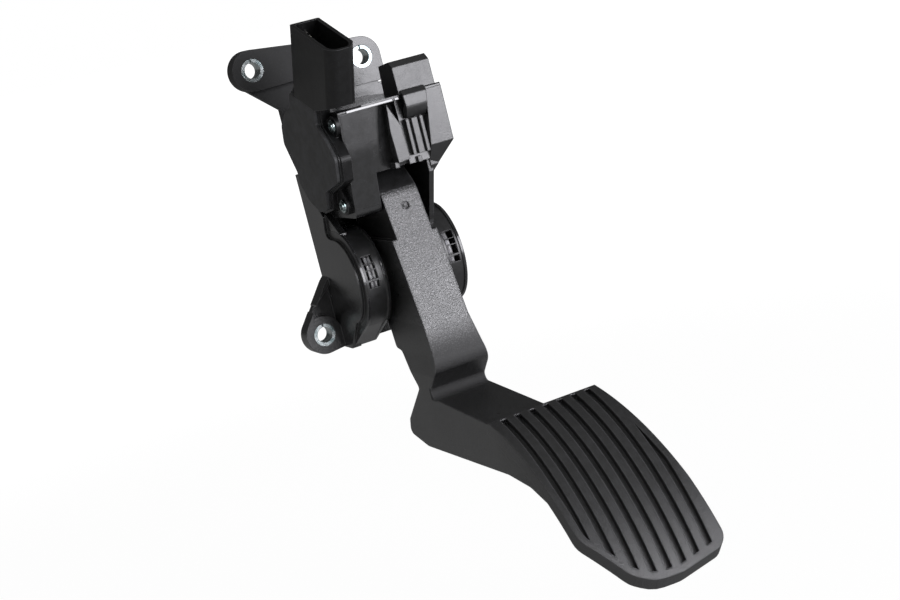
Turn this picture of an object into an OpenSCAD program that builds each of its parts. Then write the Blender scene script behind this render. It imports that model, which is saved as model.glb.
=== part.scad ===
// Hanging accelerator pedal module with its position sensor.
// Origin: mounting face of the bracket, below the arm's mid plane at the height of the pivot.
// X runs along the pivot pin, Z is up, and the pedal reaches forward along -Y.

/* [Mounting] */
// Height of the upper left bolt above the pivot
bolt_ul_up = 97; // [92:0.5:102]
// Distance of the upper left bolt to the left of the arm's mid plane
bolt_ul_side = 34.5; // [32:0.5:38]
// Height of the upper right bolt above the pivot
bolt_ur_up = 91; // [88:0.5:94]
// Distance of the upper right bolt to the right of the mid plane
bolt_ur_side = 16; // [13:0.5:19]
// Depth of the lower left bolt below the pivot
bolt_ll_down = 23.2; // [20:0.2:27]
// Distance of the lower left bolt to the left of the mid plane
bolt_ll_side = 33.5; // [32:0.5:38]
// Outer diameter of the rolled steel bushes
bush_od = 10; // [9:0.25:11]
// Wall of the rolled steel bushes
bush_wall = 1.5; // [1:0.1:2]
// Thickness of the ears, equal to the length of the bushes
ear_t = 8; // [6:0.5:10]
// Plastic left around a bush
ear_land = 4; // [3:0.25:5]

/* [Pivot] */
// Distance of the pivot pin in front of the mounting face
pivot_fwd = 26.5; // [25:0.5:29]
// Diameter of the pivot pin
pin_d = 8; // [6:0.5:10]
// Travel of the arm in degrees
arm_travel = 15; // [8:1:16]

/* [Drums] */
// Outer radius of the spring drums
drum_r = 22.4; // [21:0.2:24]
// Wall of the spring drums
drum_wall = 2.2; // [1.6:0.1:3]
// Gap between the arm's mid plane and the inner rim of a drum
drum_in = 13.3; // [12.8:0.1:14]
// Distance of the right drum's outer face from the mid plane
drum_out = 24; // [23.5:0.25:25]
// Wire of the return springs
wire_d = 1.8; // [1.4:0.1:2]

/* [Arm] */
// Width of the arm between the drums and the knee
arm_w = 21; // [18:0.5:22]
// Lean of the arm's front face away from upright
arm_lean = 16.6; // [10:0.5:20]
// Height of the knee below the pivot
knee_down = 31; // [28:0.5:36]
// Width of the neck between knee and pad
neck_w = 26; // [22:0.5:30]

/* [Pad] */
// Radius of the pad's rolled top face
pad_r = 114.3; // [105:1:125]
// Width of the pad
pad_w = 53.6; // [48:0.2:58]
// Thickness of the pad
pad_t = 6; // [5:0.25:8]
// Number of grooves in the pad
groove_n = 8; // [5:1:9]
// Width of a groove
groove_w = 2.7; // [2:0.1:3.4]
// Depth of a groove
groove_deep = 2.4; // [1:0.1:3.5]

/* [Sensor] */
// Backward tilt of the sensor and its socket
sensor_tilt = 21; // [15:1:25]
// Distance of the sensor cover's outer face to the left of the mid plane
cover_out = 27.5; // [26.5:0.25:29]
// Thickness of the sensor cover
cover_t = 1.5; // [1:0.1:2]
// Length of the plug socket's mouth
socket_l = 38.5; // [36:0.5:40]
// Lean of the plug socket against the sensor
socket_lean = 10; // [6:1:14]
// Width of the plug socket
socket_w = 13.2; // [12:0.2:14]
// Wall of the plug socket
socket_wall = 1.6; // [1.2:0.1:2]
// Height of the plug socket above the sensor
socket_h = 33; // [28:0.5:36]
// Depth of the plug socket's mouth
socket_deep = 19; // [14:0.5:22]
// Number of connector pins
pin_n = 6; // [4:1:7]
// Head diameter of the sensor screws
screw_head_d = 5.8; // [5.2:0.2:6.6]

/* [Stop block] */
// Width of the stop carrier's box
carrier_w = 17; // [14:0.5:18]
// Distance of the stop block's face in front of the mounting face
block_fwd = 62.4; // [61:0.2:64]
// Height of the stop block's top above the pivot
block_top = 73.6; // [73:0.2:76]

/* [Hidden] */
$fn = 64;

// Clearances
fit_gap = 0.05;
rest_gap = 0.3;
skin = 0.02;

// Colours
black_plastic = [0.07, 0.07, 0.075];
dark_plastic = [0.11, 0.11, 0.12];
steel = [0.75, 0.76, 0.78];

// Bolts as [X, height]
bolt_ul = [-bolt_ul_side, bolt_ul_up];
bolt_ur = [bolt_ur_side, bolt_ur_up];
bolt_ll = [-bolt_ll_side, -bolt_ll_down];
ear_r = bush_od / 2 + ear_land;
plate_t = 3.5;

// Left and right edges of the bracket and its floor
wall_left = -25.3;
wall_right = drum_out;
floor_z = -31.4;

// Arm channel inside the bracket
slot_left = -9;
slot_right = 13.5;
head_w = 16.6;

// Direction at an angle
function dir(a) = [cos(a), sin(a)];
// Vector scaled to length one
function unit(v) = v / norm(v);
// Points of one rounded corner, going from a over b to c
function corner(a, b, c, r) =
    let (u = unit(a - b), v = unit(c - b))
    abs(cross(u, v)) < 0.01 ? [b] :
    let (half = acos(u * v) / 2, centre = b + unit(u + v) * r / sin(half))
    let (start = b + u * r / tan(half) - centre)
    let (sweep = sign(cross(b - a, c - b)) * (180 - 2 * half))
    let (steps = max(2, ceil(abs(sweep) / 12)), first = atan2(start.y, start.x))
    [for (i = [0:steps]) centre + r * dir(first + sweep * i / steps)];
// Closed outline from [x, y, radius] corners
function rounded(p) =
    let (n = len(p), q = [for (k = p) [k.x, k.y]])
    [for (i = [0:n - 1]) each
        (p[i].z <= 0 ? [q[i]] : corner(q[(i + n - 1) % n], q[i], q[(i + 1) % n], p[i].z))];

// Solid between two X places from an outline drawn as (forward, up)
module side(x0, x1) {
    mirror([0, 1, 0])
        translate([x0, 0, 0])
            rotate([90, 0, 90])
                linear_extrude(height = x1 - x0)
                    children();
}
// Solid between two forward distances from an outline drawn as (X, up)
module face(fwd0, fwd1) {
    rotate([90, 0, 0])
        translate([0, 0, fwd0])
            linear_extrude(height = fwd1 - fwd0)
                children();
}
// Solid between two heights from an outline drawn as (X, forward)
module plan(z0, z1) {
    mirror([0, 1, 0])
        translate([0, 0, z0])
            linear_extrude(height = z1 - z0)
                children();
}
// Round bar along X
module bar(x0, x1, r, fwd, up) {
    translate([x0, -fwd, up])
        rotate([0, 90, 0])
            cylinder(h = x1 - x0, r = r);
}
// Round bar along the forward direction
module stud(fwd0, fwd1, r, x, up) {
    translate([x, -fwd0, up])
        rotate([90, 0, 0])
            cylinder(h = fwd1 - fwd0, r = r);
}
// Two circles joined by their outer tangents, which run a hair inside them
module link_2d(a, ra, b, rb) {
    t = atan2(b.y - a.y, b.x - a.x);
    s = acos((ra - rb) / norm(b - a));
    qa = ra - skin;
    qb = rb - skin;
    translate(a) circle(r = ra);
    translate(b) circle(r = rb);
    polygon([a + qa * dir(t + s), a + qa * dir(t - s), b + qb * dir(t - s), b + qb * dir(t + s)]);
}

// Walls around the arm's head
wall_t = 2.2;
side_wall = -21;
seat_in = side_wall + 0.3;
right_wall = 16.2;
recess_back = 54;
recess_right = 5.5;
box_front = 60.5;
box_floor = 28;
lip_z = 44.5;

// Hub, tail and running parts of the arm
hub_r = 15.5;
hub_end = 11.6;
ring_t = 1.4;
arm_face = 58.2;
step_z = 15.5;
stop_fwd = 51.6;
lug = [17.9, 15.4];
lug_r = 2;

// Spring chambers
chamber_r = drum_r - drum_wall;
chamber_end = 21.9;
boss_r = pin_d / 2 + 3;
coil_r = chamber_r - wire_d / 2 - 0.4;
coil_in = drum_in + 0.6 + wire_d / 2;
coil_room = chamber_end - rest_gap - wire_d / 2 - coil_in;
coil_turns = floor(4 * coil_room / (wire_d + 0.1)) / 4;
coil_pitch = coil_room / coil_turns;
lug_reach = coil_in + 0.6;

// Sensor drive: a pin on the arm's tail turns the rotor
rotor = [30, 56];
rotor_reach = rotor - [pivot_fwd, 0];
drive_r = norm(rotor_reach) - 18.1;
drive_pin_r = 2;
drive_pin = rest_point(drive_r, 0);
drive_end = rest_point(drive_r, arm_travel);
axle_r = 1.5;
magnet_r = 7;
screws = [[57, 68.2], [45.8, 34]];

// Place at a radius from the pivot on the line to the rotor, after a turn of the arm
function rest_point(r, turn) =
    let (a = atan2(rotor_reach.x, rotor_reach.y) - arm_travel / 2 + turn)
    [pivot_fwd, 0] + r * [sin(a), cos(a)];
// Place at rest of a point that lies at p with the pedal fully pressed
function unpressed(p) =
    let (q = p - [pivot_fwd, 0], c = cos(arm_travel), s = sin(arm_travel))
    [pivot_fwd, 0] + [q.x * c - q.y * s, q.x * s + q.y * c];

// Side outline of a drum with its foot
module drum_outline(r) {
    foot_r = 7;
    link_2d([pivot_fwd, 0], r, [13, floor_z + foot_r], foot_r);
    translate([0, floor_z]) square([13, r - floor_z]);
    square([pivot_fwd, r]);
}

// Outline of the back plate, drawn as (X, up)
module plate_outline() {
    difference() {
        translate([wall_left, floor_z]) square([drum_out - wall_left, 78 - floor_z]);
        translate([wall_left - 1, 48]) square([side_wall + 0.3 - wall_left + 1, 21]);
    }
    link_2d(bolt_ul, ear_r - 0.5, [-12, 87], 16);
    link_2d(bolt_ur, ear_r - 0.5, [6, 82], 17);
    link_2d(bolt_ll, ear_r - 0.8, [-14, -12], 17);
}

// Raised ears around the bolts
module ears() {
    face(0, ear_t) {
        link_2d(bolt_ul, ear_r, [-8, bolt_ul_up - 1.3], 7.3);
        translate(bolt_ur) circle(r = ear_r);
        translate([0, 79]) square([bolt_ur_side + ear_r, bolt_ur_up - 79]);
        translate([0, bolt_ur_up - 1]) square([bolt_ur_side, ear_r + 1]);
        difference() {
            link_2d(bolt_ll, ear_r - 0.4, [-14, -12], 17.4);
            link_2d([bolt_ll.x + 3.4, bolt_ll.y + 8.4], ear_r - 2.6, [-14, -12], 14.8);
            translate([wall_left + 0.9, floor_z - 20]) square([60, 90]);
        }
        translate(bolt_ll) circle(r = ear_r - 0.6);
    }
}

// Both spring drums with their rims, and the panel that closes the left one
module drums() {
    rim = 1.2;
    left = drum_out;
    side(drum_in, drum_out) drum_outline(drum_r - 0.6);
    side(-left, -drum_in) drum_outline(drum_r - 0.6);
    side(drum_in, drum_in + rim) drum_outline(drum_r);
    side(drum_out - rim, drum_out) drum_outline(drum_r);
    side(-drum_in - rim, -drum_in) drum_outline(drum_r);
    side(-left, -left + rim) drum_outline(drum_r);
    bar(wall_left, -left + 0.5, panel_r, pivot_fwd, 0);
}

// Wall on the left that runs from the back plate into the drum's panel
module left_cheek() {
    side(wall_left, side_wall)
        polygon(rounded([
            [0, floor_z, 0], [0, 48, 0], [3.5, 48, 0], [12, 39.5, 2], [21.9, 29.3, 1.5],
            [18.6, 19.6, 3], [29.5, 18.3, 0], [29.5, -18.3, 0], [18, -29, 2], [16, floor_z, 0]
        ]));
    side(-drum_out + 0.1, side_wall)
        polygon([[10, 12], [10, 37], [20.4, 30.6], [34, 21.4], [34, 12]]);
}
panel_r = drum_r - 3.6;

// Spring chamber, pin seat and windows of one drum
module drum_cuts(on_left) {
    mirror([on_left, 0, 0]) {
        difference() {
            bar(drum_in - 1, chamber_end, chamber_r, pivot_fwd, 0);
            bar(drum_in, chamber_end + 1, boss_r, pivot_fwd, 0);
            spring_stop();
        }
        for (w = [[25.5, 3.4], [17, 2.4], [7.5, 3.9], [-3.6, 2.7]])
            window(w.x, w.y);
    }
}

// Rib that holds the fixed end of a return spring
module spring_stop() {
    turn = spring_start + 360 * coil_turns + asin((wire_d / 2 + 1.6) / coil_r);
    bar(chamber_end - wire_d - rest_gap, chamber_end + 1, 1.4,
        pivot_fwd + coil_r * cos(turn), -coil_r * sin(turn));
}
spring_start = -atan2(lug.y, lug.x - pivot_fwd) + asin((lug_r + wire_d / 2 + rest_gap) / coil_r);

// Window of a height in the drum's wall, at an angle above forward, that shows the spring
module window(angle, high) {
    translate([16.9, -pivot_fwd, 0])
        rotate([-angle, 0, 0])
            translate([0, -drum_r - 1, -high / 2])
                cube([4.8, drum_wall + 2, high]);
}

// Roof, walls and front box above the drums
module upper_shell() {
    side(side_wall, slot_left)
        polygon(rounded([
            [0, box_floor, 0], [0, block_top, 0], [box_front, block_top, 1.2],
            [box_front - 2, 55, 14], [51.8, box_floor, 2.5]
        ]));
    side(slot_left - 1, recess_right + 1)
        polygon([[0, lip_z], [0, block_top], [recess_back, block_top], [recess_back, lip_z]]);
    side(recess_right, right_wall)
        polygon([[0, lip_z], [0, block_top], [58, block_top], [59, lip_z]]);
    side(slot_left - 1, 9)
        polygon([
            [recess_back - 2, block_top - 1.7], [recess_back - 2, block_top],
            [box_front - 0.1, block_top], [box_front - 0.1, block_top - 1.7]
        ]);
    side(right_wall - wall_t, right_wall)
        polygon([[0, 0], [0, block_top], [57, block_top], [56.7, 39], [43.7, 17.6], [36, 10], [26, 0]]);
}

// Overhanging stop block with its ribs
module stop_face() {
    intersection() {
        side(right_wall - 2, 30)
            polygon(rounded([
                [28, 30, 0], [28, block_top, 0], [block_fwd, block_top, 0.8],
                [block_fwd, 50, 0.8], [55.5, 38, 0], [50, 30, 0]
            ]));
        union() {
            face(20, 57.5)
                polygon([
                    [right_wall - 1, 36], [right_wall - 1, block_top + 1], [block_right, block_top + 1],
                    [block_right, 50], [right_wall, 38.4], [right_wall, 36]
                ]);
            face(57, block_fwd + 1)
                polygon([
                    [15, 44], [15.4, 50], [19.2, block_top + 1], [block_right, block_top + 1],
                    [block_right, 50], [19, 42]
                ]);
        }
    }
    side(18.9, block_right)
        polygon([
            [61.1, block_top - 1], [61.1, block_top + 0.6], [61.5, block_top + 0.9],
            [block_fwd - 0.3, block_top + 0.5], [block_fwd, block_top - 1]
        ]);
    face(recess_back - 1, block_fwd - 0.3)
        polygon(rounded([
            [0.2, 71, 0], [4.3, 61.5, 1], [5, 47, 0], [-0.4, 46.5, 0], [-0.8, 60, 3]
        ]));
    for (x = [7.2, 9.8, 13.6])
        face(55, block_fwd - 0.8)
            translate([x, 48]) square([x == 9.8 ? 2.6 : 1.4, 15]);
    for (x = [-0.9, 9.8])
        face(recess_back - 1, block_fwd - 1.6)
            translate([x - 0.9, lip_z]) square([1.8, 2.4]);
}
block_right = 26;

// Housing that holds everything: back plate, ears, drums, box and stop block in one moulding
module bracket_housing() {
    color(black_plastic)
        difference() {
            union() {
                difference() {
                    union() {
                        face(0, plate_t) plate_outline();
                        ears();
                        drums();
                        left_cheek();
                        upper_shell();
                        stop_face();
                    }
                    arm_space();
                    sensor_bay();
                    sensor_place()
                        side(-40, seat_in)
                            cover_outline(1.4 + rest_gap);
                }
                side(-6, 6)
                    polygon([[1, 44], [1, 60], [stop_seat, 56.5], [stop_seat, 48]]);
            }
            for (b = [bolt_ul, bolt_ur, bolt_ll])
                stud(-1, ear_t + 1, bush_od / 2, b.x, b.y);
            drum_cuts(0);
            drum_cuts(1);
            bar(-chamber_end - 1.5, drum_out + 1, pin_d / 2, pivot_fwd, 0);
            bar(drum_out - clip_t, drum_out + 1, clip_r + fit_gap, pivot_fwd, 0);
            roof_window();
        }
}
stop_seat = 14;
clip_t = 1.2;
clip_r = pin_d / 2 + 3.5;

// Space in which the arm's head and tail swing
module arm_space() {
    side(-drum_in, drum_in)
        polygon([
            [plate_t, floor_z - 1], [plate_t, box_floor - 4], [60, box_floor - 4], [60, floor_z - 1]
        ]);
    side(slot_left, recess_right)
        polygon([
            [plate_t, 20], [plate_t, block_top - wall_t], [recess_back - 1.6, block_top - wall_t],
            [recess_back - 1.6, lip_z], [64, lip_z - 1], [64, 20]
        ]);
    side(recess_right - 0.5, slot_right)
        polygon([
            [plate_t, 20], [plate_t, block_top - wall_t], [56.8, block_top - wall_t],
            [57.5, lip_z], [64, lip_z - 1], [64, 20]
        ]);
    side(slot_right - 1, right_wall - wall_t)
        polygon([
            [8, 24], [8, block_top - wall_t], [56.8, block_top - wall_t], [57.5, lip_z],
            [70, 30], [40, 24]
        ]);
}

// Bay behind the sensor, with the opening for the drive pin
module sensor_bay() {
    side(side_wall + wall_t, slot_left - wall_t)
        polygon([
            [plate_t, 30.5], [plate_t, block_top - wall_t], [57, block_top - wall_t],
            [55, 50], [48.5, 30.5]
        ]);
    bar(side_wall - 1, side_wall + wall_t + 1, 9, rotor.x, rotor.y);
    side(slot_left - wall_t - 1, slot_left + 1)
        link_2d(drive_pin, drive_pin_r + 1.3, drive_end, drive_pin_r + 1.3);
    for (s = screws)
        bar(side_wall - 1, side_wall + 6, 1.25, s.x, s.y);
}

// Opening in the roof for the stop carrier's stem
module roof_window() {
    plan(block_top - wall_t - 1, block_top + 1)
        translate([stem_x - 0.1, stop_fwd + 2]) square([stem_w + 0.2, stem_t + 0.2]);
}

// Rolled steel bush with its slit, in a hole at a bolt
module bush(b) {
    color(steel)
        difference() {
            stud(0, ear_t, bush_od / 2, b.x, b.y);
            stud(-1, ear_t + 1, bush_od / 2 - bush_wall, b.x, b.y);
            face(-1, ear_t + 1)
                translate(b + [-0.3, 0]) square([0.6, bush_od]);
        }
}
module bush_upper_left() { bush(bolt_ul); }
module bush_upper_right() { bush(bolt_ur); }
module bush_lower_left() { bush(bolt_ll); }

// Pivot pin through both drums
module pivot_pin() {
    color(steel)
        difference() {
            bar(-chamber_end - 1.4, drum_out + 0.6, pin_d / 2 - skin, pivot_fwd, 0);
            difference() {
                bar(drum_out - clip_t, drum_out - 0.4, pin_d, pivot_fwd, 0);
                bar(drum_out - clip_t - 1, drum_out + 1, pin_d / 2 - 0.5, pivot_fwd, 0);
            }
        }
}

// Clip in a recess of the right drum that keeps the pin in place
module pin_clip() {
    color(steel)
        difference() {
            bar(drum_out - clip_t + 0.02, drum_out - 0.42, clip_r - 0.4, pivot_fwd, 0);
            bar(drum_out - clip_t - 1, drum_out + 1, pin_d / 2 - 0.48, pivot_fwd, 0);
            side(drum_out - clip_t - 1, drum_out + 1)
                translate([pivot_fwd - 1.6, 0]) square([3.2, 12]);
        }
}

// Return spring, wound from the arm's lug to the stop at the drum's end
module return_spring(on_left) {
    steps = 12;
    n = round(coil_turns * 4) * steps / 4 * 2;
    sides = 8;
    ring = [for (i = [0:n])
        let (a = spring_start + 360 * coil_turns * i / n, x = coil_in + coil_room * i / n)
        [for (j = [0:sides - 1])
            let (b = 360 * j / sides, q = coil_r + wire_d / 2 * cos(b))
            [x + wire_d / 2 * sin(b), -pivot_fwd - q * cos(a), -q * sin(a)]]];
    points = [for (r = ring) each r];
    walls = [for (i = [0:n - 1], j = [0:sides - 1])
        let (k = (j + 1) % sides)
        [i * sides + j, i * sides + k, (i + 1) * sides + k, (i + 1) * sides + j]];
    first = [for (j = [sides - 1:-1:0]) j];
    last = [for (j = [0:sides - 1]) n * sides + j];
    color(steel)
        mirror([on_left, 0, 0])
            polyhedron(points = points, faces = concat([first], walls, [last]));
}
module return_spring_right() { return_spring(0); }
module return_spring_left() { return_spring(1); }

// Stop carrier: box on the roof, latch tongue over the block's face, stem through the roof
module stop_carrier() {
    left = 24.3 - carrier_w;
    color(black_plastic) {
        side(left, left + carrier_w)
            polygon(rounded([
                [44.5, block_top, 0], [46, 86.3, 0.6], [57.4, 87.4, 0.6], [60.4, 85, 0.5],
                [60.9, block_top, 0]
            ]));
        intersection() {
            side(left, left + 12)
                polygon(rounded([
                    [54, block_top + 2, 0], [block_fwd - 0.6, block_top + 1.4, 0.6],
                    [block_fwd + 1.2, block_top - 0.5, 1.2], [block_fwd + 1.9, 67, 5],
                    [block_fwd - 1.5, 63.3, 0.6], [block_fwd - 4, 63.3, 0], [block_fwd - 3, 67, 0],
                    [block_fwd + 0.1, 69.5, 0], [block_fwd + 0.1, block_top, 0], [54, block_top, 0]
                ]));
            face(50, 70)
                polygon([
                    [left + 0.4, 80], [left + 11.4, 80], [left + 11.4, 74], [left + 9.4, 62.5],
                    [left + 0.9, 62.5]
                ]);
        }
        plan(stop_low, block_top + 1)
            translate([stem_x, stop_fwd + 2.1]) square([stem_w, stem_t]);
    }
}
stop_low = 57;
stem_x = 8.6;
stem_w = 4.8;
stem_t = 2.9;

// Rubber buffer on the stem, met by the arm at full travel
module full_stop_buffer() {
    color(dark_plastic)
        plan(stop_low, stop_low + 8)
            translate([stem_x, stop_fwd + rest_gap]) square([stem_w, 1.8]);
}

// Rubber buffer behind the tail, on which the arm rests
module idle_stop_buffer() {
    color(dark_plastic)
        side(-5, 5)
            polygon([
                [stop_seat, 49], [stop_seat, 55.5], [tail_back(55.5) - rest_gap, 55.5],
                [tail_back(49) - rest_gap, 49]
            ]);
}
// Forward distance of the tail's rear face at a height
function tail_back(z) = tail_low.x + (z - tail_low.y) * (tail_top.x - tail_low.x) / (tail_top.y - tail_low.y);
tail_low = [14.2, 10];
tail_top = [21.5, 63];

// Sensor frame: origin on the rotor's axis, tilted with the sensor
module sensor_place(lean = 0) {
    translate([0, -rotor.x, rotor.y])
        rotate([sensor_tilt + lean, 0, 0])
            children();
}
// Round bar along X, by its place in the sensor frame
module sensor_bar(x0, x1, r, p) {
    bar(x0, x1, r, p.x, p.y);
}
// Place in the sensor frame of a place given as [forward, up]
function in_sensor(p) =
    let (q = p - rotor, c = cos(sensor_tilt), s = sin(sensor_tilt))
    [q.x * c - q.y * s, q.x * s + q.y * c];

// Outline of the sensor's cover, grown by e
module cover_outline(e = 0) {
    polygon(rounded([
        [-13 - e, 25.6 + e, 0.6], [13 + e, 26.4 + e, 0.6], [13.4 + e, 20, 2],
        [23.5 + e, 15.2, 8], [30.2 + e, 10.5, 4], [30.2 + e, 0.2, 1.5],
        [15 + e, -10.4 - e / 2, 1.2], [14.2 + e, -19, 1], [5.8, -23.4 - e, 1.2],
        [-5.2, -22.6 - e, 6], [-14.6 - e, -17.6, 1.5], [-15.6 - e, -13, 3],
        [-28 - e, -3.5, 2.5], [-28.2 - e, 5, 5], [-21.5 - e, 14, 4], [-15 - e, 17.3, 2]
    ]));
}

// Levels of the sensor's layers
tray_out = -26;
tray_floor = -22.2;
lug_out = -22.8;
board_in = -24.2;
board_t = 1;
nest = 1.6;

// Sensor housing: tray with screw lugs and the plug socket
module sensor_housing() {
    color(black_plastic)
        difference() {
            union() {
                sensor_place() {
                    side(tray_out, side_wall) cover_outline(0.6);
                    side(tray_out + 0.9, seat_in) cover_outline(1.4);
                    for (s = screws)
                        side(lug_out, side_wall)
                            link_2d(in_sensor(s), screw_head_d / 2 + 1.2, in_sensor(s) * 0.55, 6);
                }
                socket_shell();
            }
            sensor_place() {
                side(tray_out - 1, tray_floor) cover_outline(-nest);
                sensor_bar(tray_floor - 1, side_wall + 1, axle_r, [0, 0]);
                difference() {
                    sensor_bar(seat_in - 0.6, seat_in + 1, 11.2 + skin, [0, 0]);
                    sensor_bar(seat_in - 2, seat_in + 2, 9.6 - skin, [0, 0]);
                }
                for (s = screws)
                    sensor_bar(tray_out, side_wall + 1, screw_r + fit_gap, in_sensor(s));
            }
            sensor_place()
                side(-40, tray_out)
                    cover_outline(fit_gap);
            pin_bed();
        }
}
screw_r = 1.7;

// Outside of the plug socket
socket_foot = 25;
socket_right = -cover_out + socket_w;
socket_mid = (-cover_out + socket_right) / 2;
module socket_shell() {
    difference() {
        sensor_place(socket_lean)
            plug_prism(socket_foot, socket_top + 15, 0);
        sensor_place() {
            side(-40, 0)
                polygon([[-60, socket_top], [60, socket_top], [60, 120], [-60, 120]]);
            side(-40, 0)
                polygon([[-60, -60], [60, -60], [60, socket_foot], [-60, socket_foot]]);
        }
        plan(0, block_top + 2.2)
            translate([-50, -20]) square([80, 200]);
        sensor_place(socket_lean)
            plug_prism(socket_top - socket_deep, socket_top + 20, socket_wall);
    }
}
socket_top = 26.4 + socket_h;

// Prism of the plug's section with its blunt nose, standing along the socket's axis
module plug_prism(b0, b1, inset) {
    rear = plug_rear + inset;
    nose = plug_rear + socket_l - inset;
    x0 = -cover_out + inset;
    x1 = socket_right - inset;
    sweep = 5.2 - inset / 2;
    translate([0, 0, b0])
        mirror([0, 1, 0])
            linear_extrude(height = b1 - b0)
                polygon(rounded([
                    [x0, rear, 0.8], [x1, rear, 0.8], [x1, nose - sweep, 2.5],
                    [socket_mid + 3.2, nose, 2.5], [socket_mid - 3.6, nose, 2.5],
                    [x0, nose - sweep + 1, 2.5]
                ]));
}
plug_rear = -12.2;

// Passages for the connector pins between socket and tray
module pin_bed() {
    for (k = [0:pin_n - 1])
        pin(k, fit_gap);
}
pin_pitch = 3.2;
pin_row = -2;
pin_low = 28.2;

// Place in the sensor frame of a place in the leaning frame of the socket
function from_socket(p) =
    let (c = cos(socket_lean), s = sin(socket_lean))
    [p.x * c + p.y * s, p.y * c - p.x * s];

// One connector pin: blade in the socket, foot through the wall and leg on the circuit board
module pin(k, grow) {
    w = 0.7 + grow;
    a = pin_row + pin_pitch * (k - (pin_n - 1) / 2);
    foot = from_socket([a, pin_low]);
    sensor_place(socket_lean)
        translate([socket_mid - 0.32 - grow, -a - w, pin_low - w])
            cube([0.64 + 2 * grow, 2 * w, socket_top - 6 - pin_low + 2 * w]);
    sensor_place() {
        side(board_in + 0.1 - grow, socket_mid + 0.1)
            translate(foot - [0.6 + grow, 0.6 + grow]) square([1.2 + 2 * grow, 1.2 + 2 * grow]);
        side(board_in, board_in + 0.64 + grow)
            translate([foot.x - 0.45 - grow, 21.6]) square([0.9 + 2 * grow, foot.y - 21.6]);
    }
}

// Connector pins in one row
module connector_pins() {
    color(steel)
        for (k = [0:pin_n - 1])
            pin(k, 0);
}

// Flat cover of the sensor with a thin raised rim
module sensor_cover() {
    color(dark_plastic)
        sensor_place() {
            side(-cover_out, tray_out) cover_outline();
            difference() {
                side(tray_out, board_in - board_t - 0.1) cover_outline(-nest - fit_gap);
                side(tray_out - 1, tray_out + 2) cover_outline(-nest - 1.2);
            }
        }
}

// Ring seal between the sensor and the bracket
module sensor_gasket() {
    color(dark_plastic)
        sensor_place()
            difference() {
                sensor_bar(seat_in - 0.6, seat_in, 11.2, [0, 0]);
                sensor_bar(seat_in - 1, seat_in + 1, 9.6, [0, 0]);
            }
}

// Two round-headed screws that hold the sensor
module sensor_screws() {
    color(steel)
        for (s = screws)
            difference() {
                union() {
                    bar(lug_out, side_wall + 5, screw_r - 0.45 - skin, s.x, s.y);
                    bar(lug_out, side_wall, screw_r, s.x, s.y);
                    bar(lug_out - 0.9, lug_out, screw_head_d / 2, s.x, s.y);
                    bar(lug_out - 1.4, lug_out, screw_head_d / 2 - 0.8, s.x, s.y);
                }
                side(lug_out - 3, lug_out - 0.5)
                    translate(s)
                        for (a = [0, 60, 120])
                            rotate(a + 12) square([3, 1], center = true);
            }
}

// Circuit board in the tray
module circuit_board() {
    color([0.1, 0.3, 0.16])
        sensor_place()
            side(board_in - board_t, board_in)
                polygon(rounded([
                    [-11, 23.2, 1], [11.3, 23.6, 1], [11.6, 17, 1], [20, 12, 2], [20, 2, 2],
                    [11, -9, 2], [10, -17, 1], [4, -20, 1], [-5, -19, 1], [-11, -14, 1],
                    [-11, 14, 1]
                ]));
}

// Two sensing chips on the board, over the magnet
module hall_chips() {
    color([0.05, 0.05, 0.05])
        sensor_place()
            for (a = [-4, 4])
                side(board_in, tray_floor - 0.1)
                    translate([a - 2, -2.5]) square([4, 5]);
}

// Axle of the rotor, held in the tray's floor, with its end disc
module rotor_axle() {
    color(steel) {
        bar(tray_floor, rotor_in + 0.9, axle_r - skin, rotor.x, rotor.y);
        bar(rotor_in + 0.2, rotor_in + 0.9, axle_r + 1.5, rotor.x, rotor.y);
    }
}
rotor_in = -16.2;

// Rotor with its forked lever, and its ring magnet
module rotor_lever() {
    length = norm(drive_pin - rotor);
    near = norm(rotor_reach) - drive_r;
    color(dark_plastic)
        translate([0, -rotor.x, rotor.y])
            rotate([-asin(drive_r * sin(arm_travel / 2) / length), 0, 0])
                mirror([0, 1, 0])
                    difference() {
                        union() {
                            bar_x(side_wall + 0.3, rotor_in, axle_r + 2.5, 0, 0);
                            bar_x(rotor_in - 2.2, rotor_in, 7, 0, 0);
                            lever_plate(near, length);
                        }
                        bar_x(side_wall - 1, rotor_in + 1, axle_r + fit_gap, 0, 0);
                        lever_slot(near, length);
                    }
}
// Round bar along X in the rotor's own frame
module bar_x(x0, x1, r, fwd, up) {
    translate([x0, fwd, up])
        rotate([0, 90, 0])
            cylinder(h = x1 - x0, r = r);
}
// Plate of the lever from the rotor to just past the drive pin
module lever_plate(near, length) {
    w = drive_pin_r + 2;
    translate([rotor_in - 2.2, -w, -length - w + 0.6])
        cube([2.2, 2 * w, length + w - 0.6]);
}
// Slot in which the drive pin slides
module lever_slot(near, length) {
    w = drive_pin_r + 0.25;
    translate([rotor_in - 3.2, -w, -length - 0.3])
        cube([4.2, 2 * w, length - near + 0.6]);
    for (up = [-length - 0.3, -near + 0.3])
        bar_x(rotor_in - 3.2, rotor_in + 1, w, 0, up);
}
// Ring magnet on the rotor
module rotor_magnet() {
    color([0.2, 0.2, 0.22])
        difference() {
            bar(side_wall + 0.3, rotor_in - 2.2, magnet_r, rotor.x, rotor.y);
            bar(side_wall - 1, rotor_in, axle_r + 2.5 + skin, rotor.x, rotor.y);
        }
}

// Forward distance of the arm's front face at a height
function arm_front(z) = arm_face + (step_z - z) * tan(arm_lean);

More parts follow.
